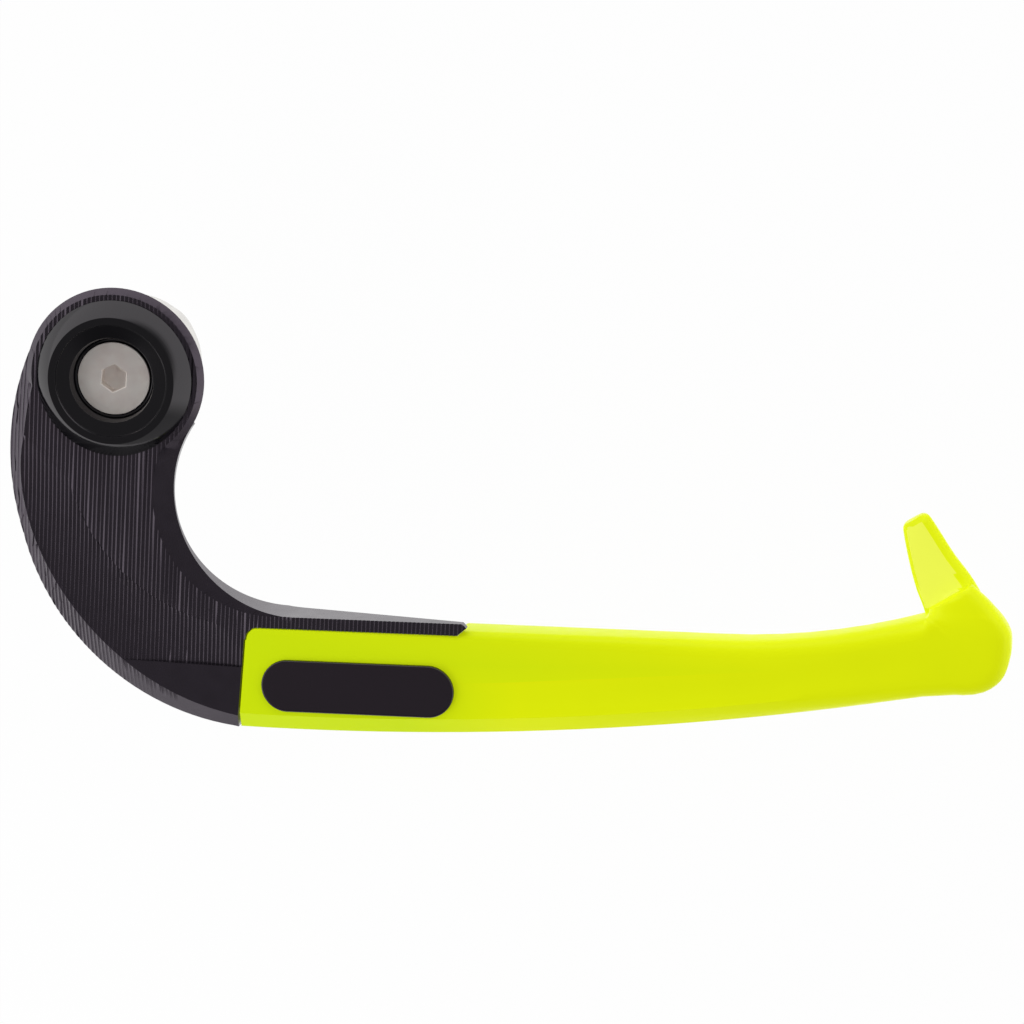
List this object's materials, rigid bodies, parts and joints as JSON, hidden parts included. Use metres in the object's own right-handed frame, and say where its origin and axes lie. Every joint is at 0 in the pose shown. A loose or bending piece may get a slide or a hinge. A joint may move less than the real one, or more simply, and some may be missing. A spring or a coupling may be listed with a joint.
{
  "type": "brake lever guard",
  "caption": "Handlebar end lever guard: a milled black hook bracket with a clamped expander and a yellow moulded blade with a turned up flap.",
  "frame": {"origin": "on the clamp screw's axis, where the handlebar's end seats against the spacer", "axes": "+Z outwards along the clamp screw, away from the handlebar; +X along the blade; +Y up across the blade"},
  "size_m": [0.1644, 0.0733, 0.0373],
  "materials": {
    "black_anodised": "black anodised over fine parallel milling ridges",
    "gloss_anodised": "turned and gloss black anodised",
    "stainless": "plain stainless steel",
    "bare_aluminium": "turned, not coated",
    "fluo_yellow": "fluorescent yellow moulding, glossy",
    "badge_black": "domed clear resin over black",
    "brass_insert": "plain brass"
  },
  "bodies": {
    "root": {"bracket": "black_anodised", "dish_washer": "gloss_anodised", "clamp_screw": "stainless", "bar_end_spacer": "bare_aluminium", "expander_sleeve": "bare_aluminium", "cone_nut": "stainless", "guard_blade": "fluo_yellow", "badge": "badge_black", "blade_screw_1": "stainless", "blade_screw_2": "stainless", "blade_insert_1": "brass_insert", "blade_insert_2": "brass_insert"}
  },
  "joints": []
}
